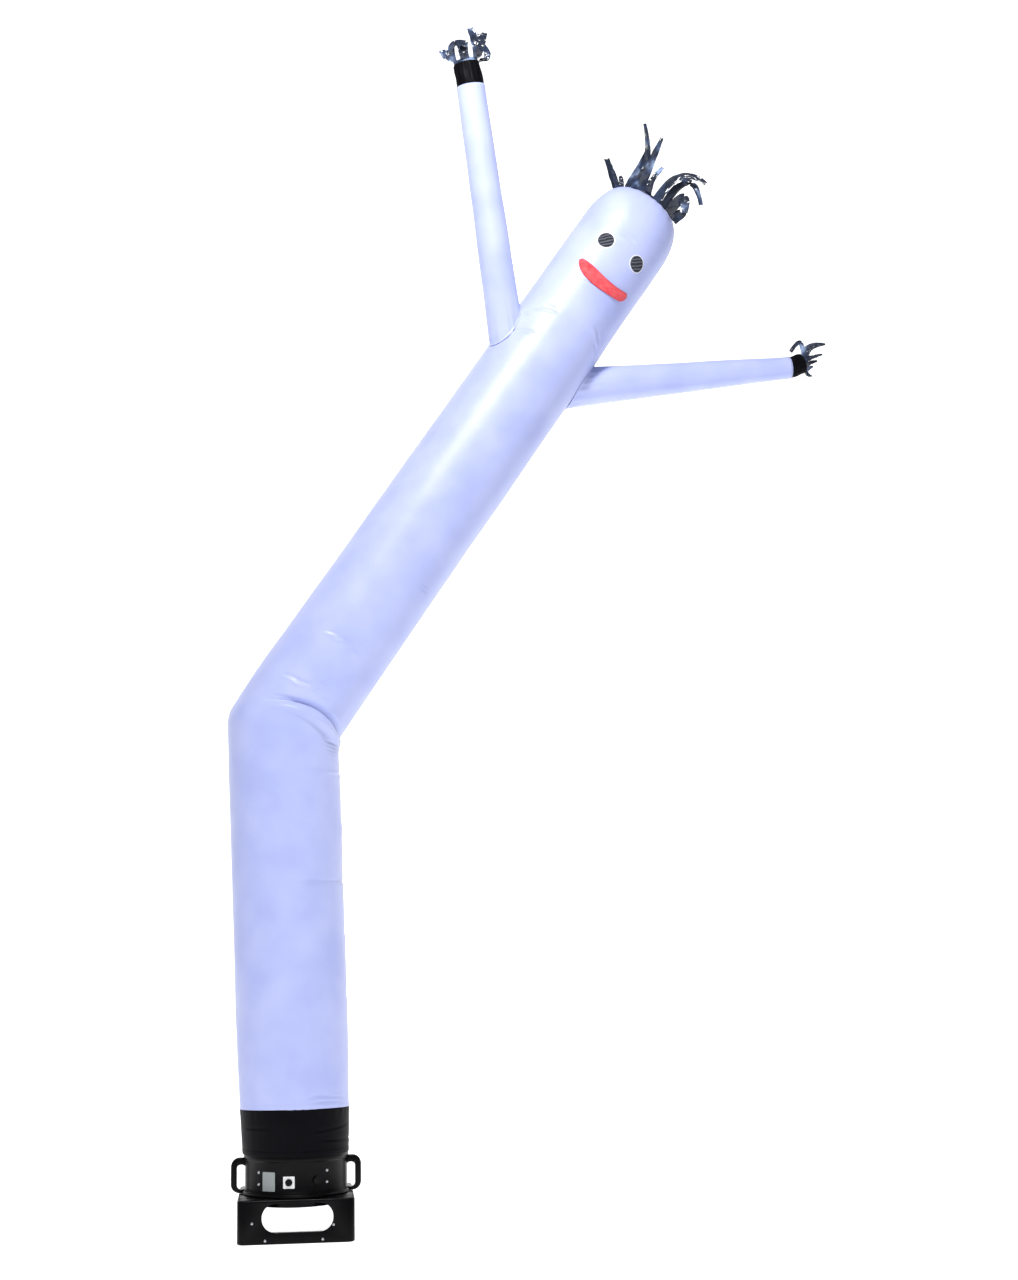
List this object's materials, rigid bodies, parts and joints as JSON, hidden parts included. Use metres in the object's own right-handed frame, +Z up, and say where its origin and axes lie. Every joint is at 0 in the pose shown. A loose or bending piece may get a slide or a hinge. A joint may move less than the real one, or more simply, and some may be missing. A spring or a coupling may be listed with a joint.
{
  "type": "inflatable air dancer on its blower",
  "caption": "Tall air-filled white nylon tube with a knee bend, raised arms, strip fingers and hair and a plain face, on a black floor-standing blower.",
  "frame": {"origin": "on the floor under the middle of the blower's foot", "axes": "+Z up, -Y the front with the blower's fittings and the face, +X the dancer's side towards which the tube bends"},
  "size_m": [2.7676, 0.8606, 5.4035],
  "materials": {
    "white_nylon": "satin",
    "black_nylon": "satin",
    "strip_nylon": "gloss",
    "eye_mesh": "matte",
    "mouth_red": "matte",
    "moulded_plastic": "gloss",
    "plate_grey": "matte",
    "plate_white": "gloss"
  },
  "bodies": {
    "root": {"body_tube": "white_nylon", "arm_left": "white_nylon", "arm_right": "white_nylon", "base_sleeve": "black_nylon", "cuff_left": "black_nylon", "cuff_right": "black_nylon", "fingers_left": "strip_nylon", "fingers_right": "strip_nylon", "hair_fringe": "strip_nylon", "eye_left": "eye_mesh", "eye_right": "eye_mesh", "mouth": "mouth_red", "blower_base": "moulded_plastic", "inlet_ring": "moulded_plastic", "blower_drum": "moulded_plastic", "handle_left": "moulded_plastic", "handle_right": "moulded_plastic", "blank_plate": "plate_grey", "socket_plate": "plate_white", "socket_core": "moulded_plastic", "round_gland": "moulded_plastic"}
  },
  "joints": []
}
